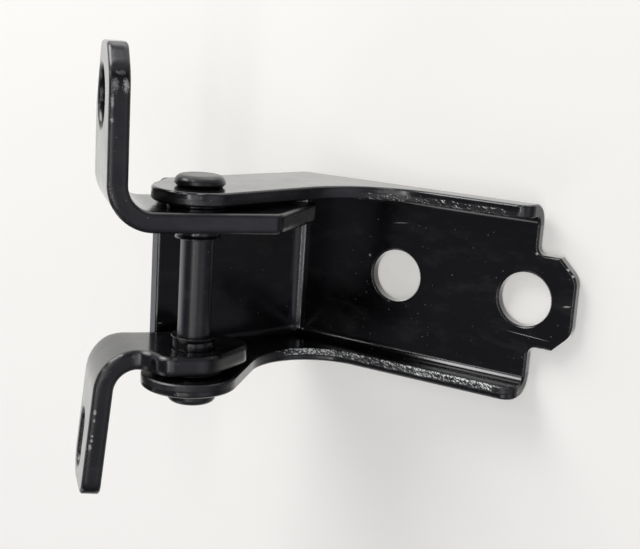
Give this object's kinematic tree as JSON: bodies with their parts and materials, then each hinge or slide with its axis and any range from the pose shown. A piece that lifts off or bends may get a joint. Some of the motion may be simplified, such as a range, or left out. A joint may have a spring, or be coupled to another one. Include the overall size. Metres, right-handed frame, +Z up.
{
  "type": "car door hinge",
  "caption": "Pressed steel car door hinge: folded mounting channel with bolt holes, riveted pin, and L-shaped brackets that swing on flanged bushes.",
  "frame": {"origin": "on the channel's mounting face, midway between its bolt holes", "axes": "+Y out of the mounting face, +Z up along the hinge pin, +X along the mounting plate away from the pin"},
  "size_m": [0.1062, 0.0757, 0.1072],
  "materials": {
    "black_e_coat": "satin gloss",
    "coated_pin": "satin over turned steel",
    "bush_black": "satin"
  },
  "bodies": {
    "channel_body": {"channel": "black_e_coat", "hinge_pin": "coated_pin"},
    "upper_leaf": {"upper_bracket": "black_e_coat", "upper_bush": "bush_black"},
    "lower_leaf": {"lower_bracket": "black_e_coat", "lower_bush": "bush_black"}
  },
  "joints": [
    {"name": "upper_hinge", "type": "hinge", "parent": "channel_body", "child": "upper_leaf", "pos_m": [-0.0464, -0.0506, 0], "axis": [0, 0, 1], "range_deg": [0, 43]},
    {"name": "lower_hinge", "type": "hinge", "parent": "channel_body", "child": "lower_leaf", "pos_m": [-0.0464, -0.0506, 0], "axis": [0, 0, 1], "range_deg": [0, 43]}
  ]
}
